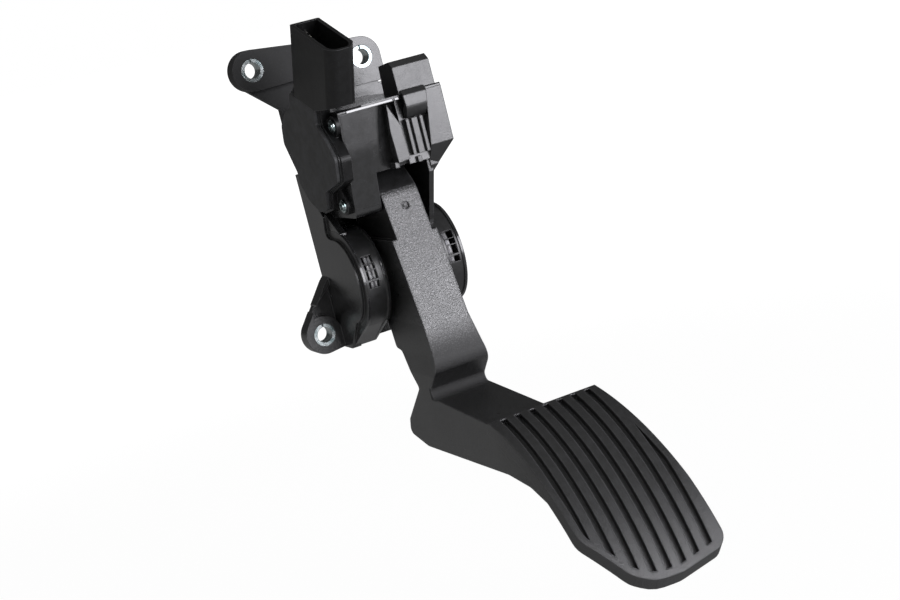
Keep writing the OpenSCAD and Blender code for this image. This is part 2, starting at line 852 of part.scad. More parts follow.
// Side outline of the arm: tail, hub, column, knee and neck, drawn as (forward, up)
module arm_profile() {
    knee = -knee_down - 8;
    translate([pivot_fwd, 0]) circle(r = hub_r);
    polygon(rounded([
        [tail_low.x, tail_low.y, 0], [tail_top.x, tail_top.y, 3], [24, 66.6, 3],
        [33.6, 66.4, 2], [36, 58, 3], [38.6, 49, 5], [arm_front(35), 35, 9],
        [arm_front(knee), knee, 7], [59.5, -52.6, 2.5], pad_join, [128, -62.5, 0], [150, -77.5, 0],
        [157, -84, 0], [142, -78.6, 10], [124, -76.6, 20], [44, -77.4, 12],
        [26.4, -73.5, 2.5], [29.5, -66.8, 2], [50.5, -50, 1.5], [38.5, -34.4, 4],
        [33, -33.6, 2.5], [30.5, -26, 0]
    ]));
}
pad_join = [118, -57, 0];

// Front outline of the arm: head, column and the wider neck, drawn as (X, up)
module arm_width() {
    w = arm_w / 2;
    left = 1.2 - neck_w / 2 - 0.5;
    right = left + neck_w;
    polygon([
        [-head_w / 2, 90], [-head_w / 2, step_z], [-w, step_z], [-w, -21], [-w - 0.8, -34],
        [left, -43], [left, -110], [right, -110], [right, -43], [w + 1.6, -34], [w, -21],
        [w, step_z], [head_w / 2, step_z], [head_w / 2, 90]
    ]);
}

// Centre of the pad's roll, and its outline seen along the pad's normal
pad_top = 46.2;
pad_mid = 16.2 + asin(pad_top / pad_r);
pad_centre = [116.5, -56.2] - pad_r * [sin(16.2), cos(16.2)];
pad_left = -12.4;
module pad_outline(i, top) {
    right = pad_left + pad_w;
    polygon(rounded([
        [pad_left + i, top, 0], [pad_left + i, 21, 9], [0.1 + i * 0.5, 39.8 - i, 10],
        [8, 44.9 - i, 18], [20, 45.4 - i, 18], [right + 0.9 - i, 41.9 - i, 6 - i],
        [right - i, 14, 60], [right - 4.4 - i, top, 0]
    ]));
}
// Frame in the pad's middle, with its plan outline along the normal
module pad_frame() {
    translate([0, -pad_centre.x, pad_centre.y])
        rotate([pad_mid, 0, 0])
            mirror([0, 1, 0])
                children();
}
// Rolled sheet of the pad between two radii
module pad_roll(r0, r1, x0, x1) {
    difference() {
        bar(x0, x1, r1, pad_centre.x, pad_centre.y, $fn = 180);
        bar(x0 - 1, x1 + 1, r0, pad_centre.x, pad_centre.y, $fn = 180);
    }
}

// Grooves pressed into the pad, slightly slanted to the arm
groove_pitch = 6.4;
groove_slant = 2.75;
module pad_grooves() {
    difference() {
        pad_frame()
            linear_extrude(height = 200)
                intersection() {
                    pad_outline(2.8, -pad_top + 1.1);
                    rotate(groove_slant)
                        for (k = [0:groove_n - 1])
                            translate([groove_first + groove_pitch * k - groove_w / 2, -60])
                                square([groove_w, 120]);
                }
        bar(-60, 80, pad_r - groove_deep, pad_centre.x, pad_centre.y, $fn = 180);
    }
}
groove_first = -8.4;

// Arm with hub, tail, knee, neck and pad in one moulding
module pedal_arm() {
    color(black_plastic)
        difference() {
            union() {
                intersection() {
                    side(-30, 30) arm_profile();
                    face(0, 180) arm_width();
                }
                bar(-hub_end, hub_end, hub_r, pivot_fwd, 0);
                bar(-lug_reach, lug_reach, lug_r, lug.x, lug.y);
                bar(-17.6, 0, drive_pin_r, drive_pin.x, drive_pin.y);
                stop_nose();
                intersection() {
                    pad_frame()
                        linear_extrude(height = 200)
                            pad_outline(0, -pad_top);
                    pad_roll(pad_r - pad_t, pad_r, -40, 60);
                }
            }
            bar(-30, 30, pin_d / 2 + 1, pivot_fwd, 0);
            pad_grooves();
            face(arm_front(28) - 0.8, 80)
                difference() {
                    translate([0.7, 28]) circle(r = 1.6);
                    translate([0.7, 28]) circle(r = 0.9);
                }
            face(arm_front(28) - 0.4, 80)
                translate([0.7, 28]) circle(r = 1.25);
        }
}

// Nose on the tail's right side that meets the full stop buffer
module stop_nose() {
    a = unpressed([stop_fwd, stop_low + 0.5]);
    b = unpressed([stop_fwd, stop_low + 6]);
    side(0, 12.5)
        polygon([a, b, [28, b.y], [28, a.y - 4], [34, a.y - 4]]);
}

// Sleeve bearing pressed into the hub
module pivot_sleeve(x0, x1) {
    color([0.72, 0.62, 0.4])
        difference() {
            bar(x0, x1, pin_d / 2 + 1, pivot_fwd, 0);
            bar(x0 - 1, x1 + 1, pin_d / 2 + fit_gap, pivot_fwd, 0);
        }
}
module pivot_sleeve_left() { pivot_sleeve(-hub_end, -1); }
module pivot_sleeve_right() { pivot_sleeve(1, hub_end); }

// Friction ring between the hub and a drum's seat
module friction_ring(x0) {
    color([0.8, 0.78, 0.7])
        difference() {
            bar(x0, x0 + ring_t, 11, pivot_fwd, 0);
            bar(x0 - 1, x0 + ring_t + 1, pin_d / 2 + 1.5, pivot_fwd, 0);
        }
}
module friction_ring_left() { friction_ring(-hub_end - ring_t); }
module friction_ring_right() { friction_ring(hub_end); }

bracket_housing();
bush_upper_left();
bush_upper_right();
bush_lower_left();
return_spring_left();
return_spring_right();
pivot_pin();
pin_clip();
stop_carrier();
full_stop_buffer();
idle_stop_buffer();
sensor_housing();
sensor_cover();
sensor_gasket();
sensor_screws();
connector_pins();
circuit_board();
hall_chips();
rotor_axle();
pedal_arm();
pivot_sleeve_left();
pivot_sleeve_right();
friction_ring_left();
friction_ring_right();
rotor_lever();
rotor_magnet();
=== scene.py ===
# %% [markdown]
# # A hanging accelerator pedal with its angle sensor
# The solids come finished from the CAD part and stay as they are. This lesson gives them
# their finishes: glass-filled black plastic, zinc-plated steel, spring wire, rubber, the
# sensor's board and pins. Three thin pieces are added on the front of the box. Then come
# the floor, the light and the camera.

# %% Load the pedal's solids
import math
import bmesh
import bpy
from mathutils import Matrix, Vector


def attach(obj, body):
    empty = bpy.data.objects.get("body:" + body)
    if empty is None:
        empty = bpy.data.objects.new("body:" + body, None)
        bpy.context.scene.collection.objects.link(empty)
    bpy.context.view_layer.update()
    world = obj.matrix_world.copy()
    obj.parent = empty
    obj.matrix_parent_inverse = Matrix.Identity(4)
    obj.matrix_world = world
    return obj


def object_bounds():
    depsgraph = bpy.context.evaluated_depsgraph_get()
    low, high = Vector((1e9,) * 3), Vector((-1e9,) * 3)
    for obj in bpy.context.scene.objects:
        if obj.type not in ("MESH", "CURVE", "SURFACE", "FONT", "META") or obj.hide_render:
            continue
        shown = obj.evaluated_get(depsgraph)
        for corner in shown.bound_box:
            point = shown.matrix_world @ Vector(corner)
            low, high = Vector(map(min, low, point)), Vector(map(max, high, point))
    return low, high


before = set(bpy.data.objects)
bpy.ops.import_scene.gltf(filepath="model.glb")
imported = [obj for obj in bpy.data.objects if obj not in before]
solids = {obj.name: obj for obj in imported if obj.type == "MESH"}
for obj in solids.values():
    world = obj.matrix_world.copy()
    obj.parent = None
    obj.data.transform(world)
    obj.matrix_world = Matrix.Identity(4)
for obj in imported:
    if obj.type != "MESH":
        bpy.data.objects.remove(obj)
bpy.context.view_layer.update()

# %% [markdown]
# ## Writing shader maths as plain expressions
# A finish is a sum of masks: grain, wear that is also a painted edge highlight, painted
# glints, matt zones. Nodes for that are quicker to read as formulas, so one small class
# wraps a socket and turns +, -, * and ** into Math nodes.
# The reflected forms make 1.0 - mask work too. Colours are mixed with a Mix node, because
# a Math node would turn them grey.

# %% One class for sockets
class Wire:
    def __init__(self, finish, socket):
        self.finish = finish
        self.socket = socket

    def _maths(self, operation, *terms):
        return self.finish.node("ShaderNodeMath", {"operation": operation}, terms)

    def __add__(self, other):
        return self._maths("ADD", self, other)

    def __radd__(self, other):
        return self._maths("ADD", other, self)

    def __sub__(self, other):
        return self._maths("SUBTRACT", self, other)

    def __rsub__(self, other):
        return self._maths("SUBTRACT", other, self)

    def __mul__(self, other):
        return self._maths("MULTIPLY", self, other)

    def __rmul__(self, other):
        return self._maths("MULTIPLY", other, self)

    def __pow__(self, other):
        return self._maths("POWER", self, other)

    def __rpow__(self, other):
        return self._maths("POWER", other, self)


print("reflected forms:", [name for name in vars(Wire) if name.startswith("__r")])

# %% [markdown]
# ## One method for every other node
# A node needs its type, its settings, which are set first, and the values or links of its
# sockets. One method takes all three, and a stack of nodes becomes a line of code. Each
# owner of nodes, a material or the world, hands over its own tree.

# %% A tree of nodes
class NodeTree:
    def __init__(self, owner):
        owner.use_nodes = True
        self.owner = owner
        self.tree = owner.node_tree
        self.tree.nodes.clear()

    def node(self, kind, settings=None, inputs=(), output=0):
        made = self.tree.nodes.new(kind)
        for key, value in (settings or {}).items():
            setattr(made, key, value)
        pairs = inputs.items() if isinstance(inputs, dict) else enumerate(inputs)
        for key, value in pairs:
            if isinstance(value, Wire):
                self.tree.links.new(value.socket, made.inputs[key])
            else:
                made.inputs[key].default_value = value
        return Wire(self, made.outputs[output]) if made.outputs else None

    def ramp(self, value, low, high):
        return self.node(
            "ShaderNodeMapRange", {"interpolation_type": "SMOOTHSTEP"},
            {"Value": value, "From Min": low, "From Max": high, "To Min": 0.0, "To Max": 1.0},
        )

    def part_of(self, vector, axis):
        return self.node("ShaderNodeSeparateXYZ", None, [vector], output=axis)


print("a smooth ramp and any other node come from", NodeTree.__name__)

# %% [markdown]
# ## Patterns and places
# Noise gives grain and clouds. Places on the part come from object coordinates, in
# metres, so that a mask can be drawn where a mould is polished. Both work without
# unwrapping, and a Mix node blends the colours that they choose between.

# %% A class for patterns
ACROSS, BACK, UP = 0, 1, 2
OBJECT_OUTPUT = 3
MIXED_COLOUR_OUTPUT = 2


class Pattern(NodeTree):
    def __init__(self, name):
        super().__init__(bpy.data.materials.new(name))

    def place(self):
        return self.node("ShaderNodeTexCoord", output=OBJECT_OUTPUT)

    def along(self, axis):
        return self.part_of(self.place(), axis)

    def past(self, axis, low, high):
        return self.ramp(self.along(axis), low, high)

    def noise(self, scale, detail=2.0, roughness=0.5):
        return self.node(
            "ShaderNodeTexNoise", None,
            {"Vector": self.place(), "Scale": scale, "Detail": detail, "Roughness": roughness},
        )

    def mix(self, amount, dark, light):
        return self.node(
            "ShaderNodeMix", {"data_type": "RGBA"}, {0: amount, 6: dark, 7: light},
            output=MIXED_COLOUR_OUTPUT,
        )


def grey(value, tint=(1.0, 1.0, 1.0)):
    return (value * tint[0], value * tint[1], value * tint[2], 1.0)


print("a fine cool grey is", grey(0.14, (1.0, 1.0, 1.04)))

# %% [markdown]
# ## Edges and the surface itself
# Most edges of the solids are sharp. A Bevel node gives the normal that a rounded edge
# would have, at no cost in triangles. Where that normal leans away from the face's own,
# there is an edge: hands and tools have rubbed it, and its paler grey is also a painted
# highlight standing in for the light that a rounded edge would catch. The face's own normal
# also tells which faces look forward. The last method joins it all into one Principled
# shader.

# %% A class for a finish
NORMAL_OUTPUT = 1
DOT_OUTPUT = 1
EDGE_SAMPLES = 4
FACING_FRONT = (0.75, 0.93)


class Finish(Pattern):
    def bump(self, height, depth, strength=1.0, under=None):
        inputs = {"Height": height, "Distance": depth, "Strength": strength}
        if under is not None:
            inputs["Normal"] = under
        return self.node("ShaderNodeBump", None, inputs)

    def edges(self, radius):
        return self.node("ShaderNodeBevel", {"samples": EDGE_SAMPLES}, {"Radius": radius})

    def normal(self):
        return self.node("ShaderNodeNewGeometry", output=NORMAL_OUTPUT)

    # Edge mask for wear, which also places a painted edge highlight.
    def edges_worn_and_highlit(self, rounded, low, high):
        match = self.node(
            "ShaderNodeVectorMath", {"operation": "DOT_PRODUCT"}, [rounded, self.normal()],
            output=DOT_OUTPUT,
        )
        return self.ramp(1.0 - match, low, high)

    def forward(self):
        return self.ramp(self.part_of(self.normal(), BACK) * -1.0, *FACING_FRONT)

    def surface(self, **sockets):
        inputs = {key.replace("_", " "): value for key, value in sockets.items()}
        shader = self.node("ShaderNodeBsdfPrincipled", None, inputs)
        self.node("ShaderNodeOutputMaterial", None, {"Surface": shader})
        return self.owner


print("front faces lean at most", round(math.degrees(math.acos(FACING_FRONT[0])), 1), "degrees")

# %% [markdown]
# ## Glass-filled black plastic
# The bracket and the arm are moulded in nylon with glass fibre. Close up the skin is a
# fine spark-eroded grain, a mottled black with pale specks where the glass comes to the
# surface, and dull scuffs from handling. One image could hold that, but it would need
# unwrapping, and noise in object space gives it without seams. Five noises do it, from
# patches of gloss two centimetres wide to grains of half a millimetre.

# %% Scales, greys and fades of a plastic
CLOUDS, SCUFFS, MOTTLE, PITS, GRAIN = 45.0, 70.0, 310.0, 1100.0, 2300.0
COOL = (1.0, 1.0, 1.04)
COOLER = (0.98, 1.0, 1.05)
GLASS_GREY = grey(0.14, COOL)
# Pale grey of the painted glints on the arm's front.
PAINTED_GLINT_GREY = grey(0.42, COOL)
# Grey of the worn edges: partly wear, partly a painted edge highlight.
WORN_AND_HIGHLIGHT_GREY = grey(0.17, COOL)
MOTTLE_FADE = (0.3, 0.7)
GLASS_FADE = (0.56, 0.74)
PAINTED_GLINT_FADE = (0.5, 0.66)
SCUFF_FADE = (0.63, 0.72)
WEAR_AND_HIGHLIGHT_FADE = (0.03, 0.2)
print("grains of", round(1000.0 / GRAIN, 2), "mm, clouds of", round(1000.0 / CLOUDS), "mm")

# %% [markdown]
# The colours go on in order: the mottled black, then glass and scuffs, painted glints
# where they are asked for, and last the worn edges, paler both from wear and as a painted
# edge highlight. Clouds, mottle, scuffs and wear change the roughness a little too, and a
# grade with zones of its own adds them at the end.

# %% A moulded plastic
NOISE_MIDDLE = 0.5
DARK_SHARE, LIGHT_SHARE = 0.7, 1.3
SCUFF_SHARE = 0.25
LEAST_WEAR_AND_HIGHLIGHT, PATCHY_WEAR_AND_HIGHLIGHT = 0.35, 0.6
GRAIN_SHARE, PIT_SHARE = 0.55, 0.45
ROUGH_CLOUDS, ROUGH_MOTTLE, ROUGH_SCUFFS, SMOOTH_WEAR = 0.12, 0.14, 0.05, 0.1


def moulded_plastic(
    name, tone, rough, grain, speck, level, edge, index=1.5, zones=None, painted_glint=0.0
):
    finish = Finish(name)
    cloud = finish.noise(CLOUDS, detail=3.0)
    mottle = finish.noise(MOTTLE, detail=4.0, roughness=0.6)
    fine = finish.noise(GRAIN, roughness=0.6)
    pits = finish.noise(PITS, roughness=0.6)
    rounded = finish.edges(edge)
    glass = finish.ramp(fine, *GLASS_FADE)
    scuff = finish.ramp(finish.noise(SCUFFS, detail=8.0, roughness=0.72), *SCUFF_FADE)
    rubbed = finish.ramp(mottle, *MOTTLE_FADE)
    wear_and_highlight = finish.edges_worn_and_highlit(rounded, *WEAR_AND_HIGHLIGHT_FADE) * (LEAST_WEAR_AND_HIGHLIGHT + mottle * PATCHY_WEAR_AND_HIGHLIGHT)
    colour = finish.mix(rubbed, grey(tone * DARK_SHARE), grey(tone * LIGHT_SHARE, COOLER))
    colour = finish.mix(glass * speck + scuff * (speck * SCUFF_SHARE), colour, GLASS_GREY)
    # Painted glints: pale flecks on faces that look forward, in place of light glinting off the glass.
    if painted_glint:
        painted_glint_flecks = finish.ramp(fine, *PAINTED_GLINT_FADE) * painted_glint_place(finish) * painted_glint
        colour = finish.mix(painted_glint_flecks, colour, PAINTED_GLINT_GREY)
    # Paler edges: partly wear, partly a painted highlight of the rounded edge.
    colour = finish.mix(wear_and_highlight, colour, WORN_AND_HIGHLIGHT_GREY)
    roughness = rough + (cloud - NOISE_MIDDLE) * ROUGH_CLOUDS
    roughness = roughness + (mottle - NOISE_MIDDLE) * ROUGH_MOTTLE
    roughness = roughness + scuff * ROUGH_SCUFFS - wear_and_highlight * SMOOTH_WEAR
    if zones:
        roughness = roughness + zones(finish)
    print("plastic", name, "tone", tone, "roughness", rough)
    return finish.surface(
        Base_Color=colour, Roughness=roughness, Specular_IOR_Level=level, IOR=index,
        Normal=finish.bump(fine * GRAIN_SHARE + pits * PIT_SHARE, grain, under=rounded),
    )


# %% [markdown]
# ### The bracket's skin
# The rims of the spring drums come from polished steel in the mould, so they shine more
# than the skin around them, and the wall between them is a little more matt. A mask finds
# both by their distance from the pivot's axis. The plate around the upper left bush is
# the mattest of all, and a second mask takes it by its place. Each mask fades over a
# short way, given as where it starts and where it is whole.

# %% Where the bracket is polished or matt
PIVOT_Y = -0.0265
DRUM_RIM = (0.0219, 0.0222)
PAST_DRUM = (0.0232, 0.0245)
DRUM_INNER_END_SQUARED = (0.00013, 0.00017)
LEFT_PANEL = (0.0238, 0.0242)
DRUM_CHANGE = 0.12
EAR_HEIGHT = (0.062, 0.07)
EAR_RIGHT_END = (-0.012, -0.004)
EAR_FACE = (-0.016, -0.012)
EAR_CHANGE = 0.54


def bracket_zones(finish):
    across = finish.along(ACROSS)
    reach = ((finish.along(BACK) - PIVOT_Y) ** 2.0 + finish.along(UP) ** 2.0) ** 0.5
    drum = 1.0 - finish.ramp(reach, *PAST_DRUM)
    drum = drum * finish.ramp(across * across, *DRUM_INNER_END_SQUARED)
    drum = drum * (1.0 - finish.ramp(across * -1.0, *LEFT_PANEL))
    wall_or_rim = 1.0 - finish.ramp(reach, *DRUM_RIM) * 2.0
    ear = finish.past(UP, *EAR_HEIGHT) * (1.0 - finish.past(ACROSS, *EAR_RIGHT_END))
    ear = ear * finish.past(BACK, *EAR_FACE)
    return drum * wall_or_rim * DRUM_CHANGE + ear * EAR_CHANGE


print("polished rims start", DRUM_RIM[1] * 1000.0, "mm from the pivot")

# %% [markdown]
# ### The arm's skin
# On the arm's flat front, faces that look forward get pale flecks painted into their colour:
# painted glints, where the glass would catch the softbox. Towards the bend, in the crease
# under it and on the pad the skin is plainly matt. The masks go by height, by distance
# forward and by the way a face looks. None of these depends on the camera, so they stay put
# from every side.

# %% Where the arm gets painted glints and where it is matt
PAINTED_GLINT_FORWARD_END = (-0.13, -0.1)
PAINTED_GLINT_LOW_END = (-0.037, -0.02)
PAD_START = (-0.15, -0.115)
PAD_CHANGE = 0.12
CREASE_BOTTOM = (-0.0545, -0.053)
CREASE_TOP = (-0.0495, -0.048)
CREASE_FRONT = (-0.07, -0.066)
CREASE_BACK = (-0.0622, -0.0612)
CREASE_CHANGE = 0.544
BEND_TOP = (-0.034, -0.02)
BEND_BOTTOM = (-0.049, -0.045)
BEND_CHANGE = 0.384


# Where the painted glints go: faces of the arm's front that look forward.
def painted_glint_place(finish):
    behind_pad = finish.past(BACK, *PAINTED_GLINT_FORWARD_END)
    return finish.forward() * behind_pad * finish.past(UP, *PAINTED_GLINT_LOW_END)


def arm_zones(finish):
    pad = 1.0 - finish.past(BACK, *PAD_START)
    crease = finish.past(UP, *CREASE_BOTTOM) * (1.0 - finish.past(UP, *CREASE_TOP))
    crease = crease * finish.past(BACK, *CREASE_FRONT) * (1.0 - finish.past(BACK, *CREASE_BACK))
    bend = (1.0 - finish.past(UP, *BEND_TOP)) * finish.past(UP, *BEND_BOTTOM) * finish.forward()
    return pad * PAD_CHANGE + crease * CREASE_CHANGE + bend * BEND_CHANGE


print("the arm's sparkle ends", PAINTED_GLINT_LOW_END[0] * 1000.0, "mm from the pivot's height")

# %% [markdown]
# ### Five grades of black, and one for the trim
# Each moulding came from its own tool, so each has its own depth of black, gloss and
# grain. The cover is greyer and more matt than the housing that it closes.

# %% The black plastics
bracket_black = moulded_plastic(
    "bracket_black", tone=0.017, rough=0.24, grain=0.00005, speck=0.15, level=0.85,
    edge=0.0005, index=1.6, zones=bracket_zones,
)
trim_black = moulded_plastic(
    "trim_black", tone=0.03, rough=0.16, grain=0.00002, speck=0.2, level=1.0,
    edge=0.0003, index=1.8,
)
block_black = moulded_plastic(
    "block_black", tone=0.014, rough=0.34, grain=0.00008, speck=0.3, level=0.95,
    edge=0.0005, index=1.6,
)
arm_black = moulded_plastic(
    "arm_black", tone=0.016, rough=0.32, grain=0.00026, speck=0.2, level=1.0,
    edge=0.0011, index=1.65, zones=arm_zones, painted_glint=0.75,
)
sensor_black = moulded_plastic(
    "sensor_black", tone=0.009, rough=0.42, grain=0.00005, speck=0.15, level=0.5, edge=0.0004
)
cover_black = moulded_plastic(
    "cover_black", tone=0.056, rough=0.5, grain=0.00006, speck=0.3, level=0.5, edge=0.0004
)

# %% [markdown]
# ## Metals
# Bushes and screws carry bright zinc with a faint blue-green passivation. The springs are
# drawn wire, so their scratches run along it; at this size a fine noise reads the same.
# The sleeves are sintered bronze, which is full of oil pores, and the magnet is pressed
# from powder with pores of its own.

# %% A metal
CLOUD_FADE = (0.3, 0.7)
PORE_FADE = (0.6, 0.68)
PORE_SCALE = 0.6
PORE_GREY = grey(0.02)
ROUGH_SCRATCHES, ROUGH_PORES = 0.2, 0.3
METAL_GRAIN = 0.00002
METAL_EDGE = 0.0002


def metal(name, dark, light, rough, cloud_scale, fine_scale, pore=0.0):
    finish = Finish(name)
    cloud = finish.noise(cloud_scale, detail=3.0)
    fine = finish.noise(fine_scale)
    colour = finish.mix(finish.ramp(cloud, *CLOUD_FADE), dark, light)
    hole = finish.ramp(finish.noise(fine_scale * PORE_SCALE, detail=1.0), *PORE_FADE)
    colour = finish.mix(hole * pore, colour, PORE_GREY)
    roughness = rough + (fine - NOISE_MIDDLE) * ROUGH_SCRATCHES
    roughness = roughness + (cloud - NOISE_MIDDLE) * ROUGH_CLOUDS + hole * (pore * ROUGH_PORES)
    normal = finish.bump(fine - hole * pore, METAL_GRAIN, under=finish.edges(METAL_EDGE))
    print("metal", name, "roughness", rough)
    return finish.surface(Base_Color=colour, Roughness=roughness, Metallic=1.0, Normal=normal)


# %% [markdown]
# ### Seven metals
# Each is given its darkest and lightest colour, its roughness, and the scales of its
# clouds and of its fine scratches or crystals. Small pieces have finer ones.

# %% The metals
zinc = metal(
    "zinc_plate", grey(0.42, (0.8, 1.0, 1.02)), grey(0.78, (0.94, 1.0, 1.0)),
    rough=0.26, cloud_scale=300.0, fine_scale=2200.0,
)
screw_zinc = metal(
    "screw_zinc", grey(0.36, (0.75, 1.0, 0.98)), grey(0.8, (0.92, 1.0, 1.0)),
    rough=0.2, cloud_scale=700.0, fine_scale=2600.0,
)
spring_wire = metal(
    "spring_wire", grey(0.7, (1.0, 0.99, 1.0)), grey(0.95, (1.0, 1.0, 1.03)),
    rough=0.46, cloud_scale=500.0, fine_scale=3000.0,
)
ground_steel = metal(
    "ground_steel", grey(0.4), grey(0.62, (0.98, 1.0, 1.03)),
    rough=0.22, cloud_scale=200.0, fine_scale=2500.0,
)
bronze = metal(
    "bronze", grey(0.42, (1.0, 0.72, 0.42)), grey(0.6, (1.0, 0.78, 0.5)),
    rough=0.4, cloud_scale=240.0, fine_scale=3200.0, pore=0.7,
)
tinned = metal(
    "tinned_brass", grey(0.55, (1.0, 0.93, 0.75)), grey(0.8, (1.0, 0.98, 0.92)),
    rough=0.24, cloud_scale=900.0, fine_scale=3600.0,
)
magnet_grey = metal(
    "magnet_grey", grey(0.12), grey(0.22, (0.97, 0.98, 1.0)),
    rough=0.5, cloud_scale=800.0, fine_scale=4200.0, pore=0.5,
)

# %% [markdown]
# ## Rubber, pale bearing plastic and the chips
# The buffers and the seal are matt rubber with mould bloom. The friction rings are a pale
# slippery plastic that has greyed where it rubs, and the chips are cast in matt resin.
# A cloudy bloom over a fine grain serves all three.

# %% Soft and matt finishes
BLOOM = 160.0
BLOOM_FADE = (0.35, 0.7)
BLOOM_SHARE, FINE_SHARE = 0.6, 0.4
ROUGH_FINE, SMOOTH_BLOOM = 0.2, 0.06
SOFT_EDGE = 0.0003


def soft_finish(name, low, high, rough, grain, scale, sheen=0.0):
    finish = Finish(name)
    bloom = finish.ramp(finish.noise(BLOOM, detail=4.0, roughness=0.6), *BLOOM_FADE)
    fine = finish.noise(scale, detail=3.0, roughness=0.6)
    colour = finish.mix(bloom * BLOOM_SHARE + fine * FINE_SHARE, low, high)
    normal = finish.bump(fine, grain, under=finish.edges(SOFT_EDGE))
    roughness = rough + (fine - NOISE_MIDDLE) * ROUGH_FINE - bloom * SMOOTH_BLOOM
    print("soft finish", name, "roughness", rough)
    return finish.surface(Base_Color=colour, Roughness=roughness, Normal=normal, Sheen_Weight=sheen)


black_rubber = soft_finish(
    "black_rubber", grey(0.012), grey(0.03, (1.0, 1.0, 1.03)),
    rough=0.75, grain=0.00008, scale=1400.0, sheen=0.2,
)
pale_plastic = soft_finish(
    "pale_plastic", grey(0.45, (1.0, 0.96, 0.85)), grey(0.62, (1.0, 0.97, 0.88)),
    rough=0.42, grain=0.00003, scale=1800.0,
)
chip_black = soft_finish(
    "chip_black", grey(0.01), grey(0.022), rough=0.55, grain=0.00003, scale=2600.0
)

# %% [markdown]
# ## The circuit board
# The board is green solder resist over copper tracks. A Brick texture draws them, with
# its mortar as the track, and a little bump lifts them under the resist.

# %% The board's green
TRACKS = 260.0
TRACK_SHIFT = 0.37
TRACK_WIDTH = 0.09
TRACK_FADE = 0.2
TRACK_LIFT = 0.00003
TRACK_BUMP = 0.6
BOARD_CLOUDS = 400.0
BOARD_ROUGH = 0.32
RESIST_DARK = grey(0.09, (0.12, 1.0, 0.35))
RESIST_LIGHT = grey(0.14, (0.15, 1.0, 0.4))
TRACK_GREEN = grey(0.24, (0.25, 1.0, 0.35))


def board_finish(name):
    finish = Finish(name)
    tracks = finish.node(
        "ShaderNodeTexBrick", {"offset": TRACK_SHIFT},
        {
            "Vector": finish.place(), "Scale": TRACKS, "Mortar Size": TRACK_WIDTH,
            "Mortar Smooth": TRACK_FADE, "Mortar": grey(1.0), "Color1": grey(0.0), "Color2": grey(0.1),
        },
    )
    cloud = finish.noise(BOARD_CLOUDS)
    colour = finish.mix(tracks, finish.mix(cloud, RESIST_DARK, RESIST_LIGHT), TRACK_GREEN)
    normal = finish.bump(tracks, TRACK_LIFT, strength=TRACK_BUMP)
    roughness = BOARD_ROUGH + (cloud - NOISE_MIDDLE) * ROUGH_CLOUDS
    return finish.surface(Base_Color=colour, Roughness=roughness, Normal=normal)


board_green = board_finish("board_green")
print("board:", len(board_green.node_tree.nodes), "nodes")

# %% [markdown]
# ## Who wears what
# A solid keeps its mesh, and only its material changes. Solids that share a finish are
# listed under it.

# %% Give each solid its finish
worn_by = [
    (bracket_black, ["bracket_housing"]),
    (block_black, ["stop_carrier"]),
    (arm_black, ["pedal_arm"]),
    (sensor_black, ["sensor_housing", "rotor_lever"]),
    (cover_black, ["sensor_cover"]),
    (black_rubber, ["full_stop_buffer", "idle_stop_buffer", "sensor_gasket"]),
    (zinc, ["bush_upper_left", "bush_upper_right", "bush_lower_left"]),
    (screw_zinc, ["sensor_screws"]),
    (ground_steel, ["pivot_pin", "rotor_axle"]),
    (spring_wire, ["pin_clip", "return_spring_left", "return_spring_right"]),
    (bronze, ["pivot_sleeve_left", "pivot_sleeve_right"]),
    (pale_plastic, ["friction_ring_left", "friction_ring_right"]),
    (tinned, ["connector_pins"]),
    (board_green, ["circuit_board"]),
    (chip_black, ["hall_chips"]),
    (magnet_grey, ["rotor_magnet"]),
]
finishes = {node: material for material, nodes in worn_by for node in nodes}
for node, solid in solids.items():
    solid.data.materials.clear()
    solid.data.materials.append(finishes[node])
print("finished solids:", len(solids))

# %% [markdown]
# ## The face of the box beside the latch
# On the real bracket the face of the box has no sharp edge where the pocket beside the
# latch begins: it bends away in a soft roll and slopes back until it meets the latch's
# claw. The skin that shows this lies on the box's own front, which is found by shooting
# rays at the solid, so it sits right however the box was drawn. It stands proud of the
# solid by less than a tenth of a millimetre.

# %% Find the box's front
SKIN_LEFT = -0.0203
SKIN_BOTTOM = 0.0312
SLOT_EDGE = -0.009
CLAW_SIDE = 0.0073
POCKET_BACK = -0.0541
POCKET_BOTTOM = 0.0447
RIDGE_UNDERSIDE = 0.0718
RAY_ACROSS = -0.015
RAY_FROM = -0.12
SKIN_PROUD = 0.00006
SKIN_DEPTH = 0.001
FLAT_SHORT_OF_SLOT = 0.0008


def box_front(z):
    spot = solids["bracket_housing"].ray_cast((RAY_ACROSS, RAY_FROM, z), (0.0, 1.0, 0.0))[1]
    return spot[BACK] - SKIN_PROUD


print("box front at", round(box_front(POCKET_BOTTOM) * 1000.0, 2), "mm")

# %% [markdown]
# The skin is a stack of rows, each a closed outline at one height. Every row starts with
# the flat part of the face and goes on with an arc, so both are helpers. An arc made by a
# loop stays exactly round, and its number of points can be changed in one place.

# %% Flat part and arc of a row
FLAT_END = SLOT_EDGE - FLAT_SHORT_OF_SLOT
ARC_STEPS = 6


def flat_part(front, z):
    return [(SKIN_LEFT, front + SKIN_DEPTH, z), (SKIN_LEFT, front, z), (FLAT_END, front, z)]


def arc(start, front, radius, turn, z):
    points = []
    for step in range(ARC_STEPS + 1):
        angle = turn * step / ARC_STEPS
        points.append((start + radius * math.sin(angle), front + radius * (1.0 - math.cos(angle)), z))
    return points


print("an arc has", len(arc(0.0, 0.0, 1.0, math.pi, 0.0)), "points")

# %% [markdown]
# Below the pocket the face ends at the slot with a small rounded corner, a quarter turn.

# %% Rows below the pocket
CORNER_RADIUS = 0.0005
CORNER_END = SLOT_EDGE - 0.00005
CORNER_START = CORNER_END - CORNER_RADIUS
WALL_STEPS = 4


